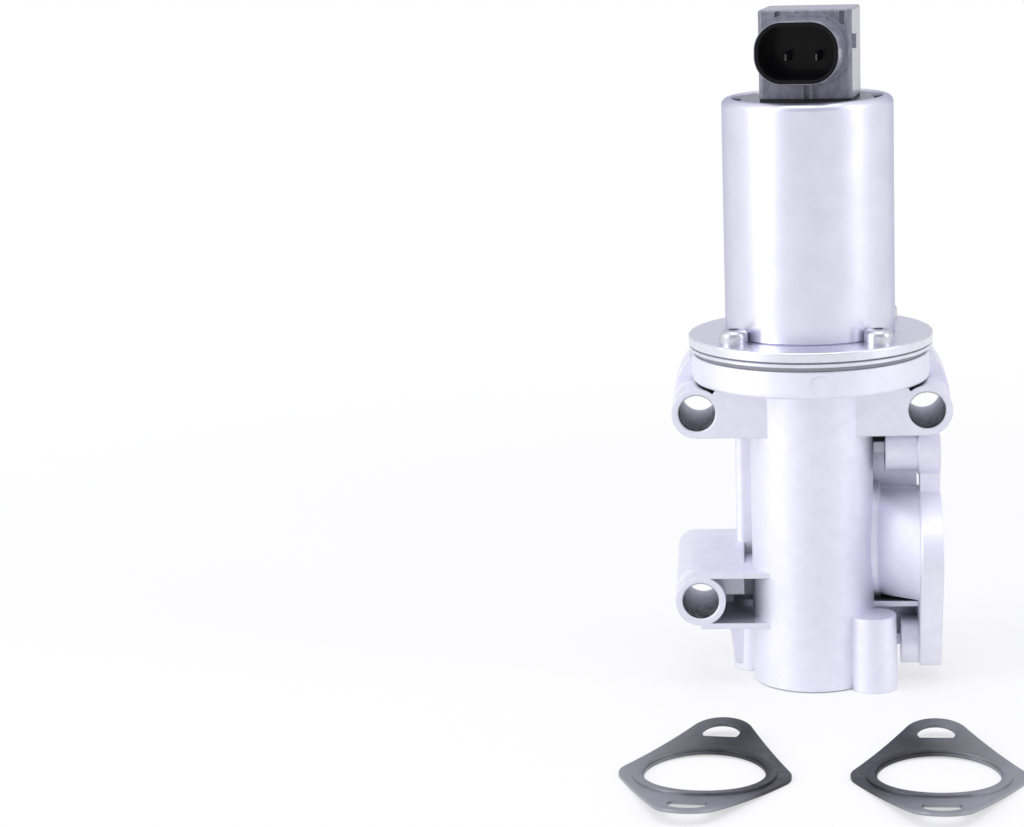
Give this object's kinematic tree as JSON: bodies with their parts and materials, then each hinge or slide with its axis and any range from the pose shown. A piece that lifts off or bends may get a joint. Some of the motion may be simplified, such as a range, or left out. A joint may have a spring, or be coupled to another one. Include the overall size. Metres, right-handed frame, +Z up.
{
  "type": "egr valve",
  "caption": "Solenoid exhaust gas valve: cast housing with lugs, side and bottom ports, round can and plug head, with a sprung poppet valve and loose port gaskets.",
  "frame": {"origin": "centre of the bottom port, on the face the valve stands on", "axes": "+Z up along the valve stem, +X out of the side port, -Y towards the fronts of the mounting lugs"},
  "size_m": [0.0931, 0.1417, 0.1695],
  "materials": {
    "cast_aluminium": "satin die casting, fine grain",
    "can_steel": "satin, plated",
    "plate_steel": "satin, zinc plated",
    "zinc_screw": "bright zinc plated",
    "dark_gasket": "matt",
    "port_gasket_steel": "dark satin steel",
    "black_plastic": "moulded, slightly glossy",
    "terminal_tin": "tinned brass",
    "rubber": "matt",
    "bobbin_plastic": "matt",
    "copper": "enamelled copper wire",
    "bronze": "turned",
    "carbon": "matt",
    "soft_iron": "turned",
    "hard_steel": "ground",
    "spring_steel": "drawn wire"
  },
  "bodies": {
    "housing": {"valve_housing": "cast_aluminium", "valve_seat": "hard_steel", "stem_guide": "bronze", "stem_seal": "carbon", "spring_washer": "hard_steel", "return_spring": "spring_steel", "housing_gasket": "dark_gasket", "spacer_plate": "plate_steel", "solenoid_gasket": "dark_gasket", "solenoid_flange": "plate_steel", "flange_screws": "zinc_screw", "solenoid_can": "can_steel", "pole_piece": "soft_iron", "pole_shim": "bronze", "guide_tube": "bronze", "coil_bobbin": "bobbin_plastic", "coil_winding": "copper", "top_plate": "plate_steel", "stem_bearing": "bronze", "head_pad": "rubber", "connector_head": "black_plastic", "terminal_pins": "terminal_tin", "side_port_gasket": "port_gasket_steel", "spare_port_gasket": "port_gasket_steel"},
    "valve_train": {"valve_stem": "hard_steel", "valve_disc": "hard_steel", "spring_retainer": "hard_steel", "retainer_clip": "spring_steel", "armature": "soft_iron", "armature_clip": "spring_steel"}
  },
  "joints": [
    {"name": "valve_lift", "type": "slide", "parent": "housing", "child": "valve_train", "axis": [0, 0, -1], "range_m": [0, 0.006], "stiffness_N_per_m": 2000, "springref_m": -0.0075, "deforming": ["return_spring"]}
  ]
}
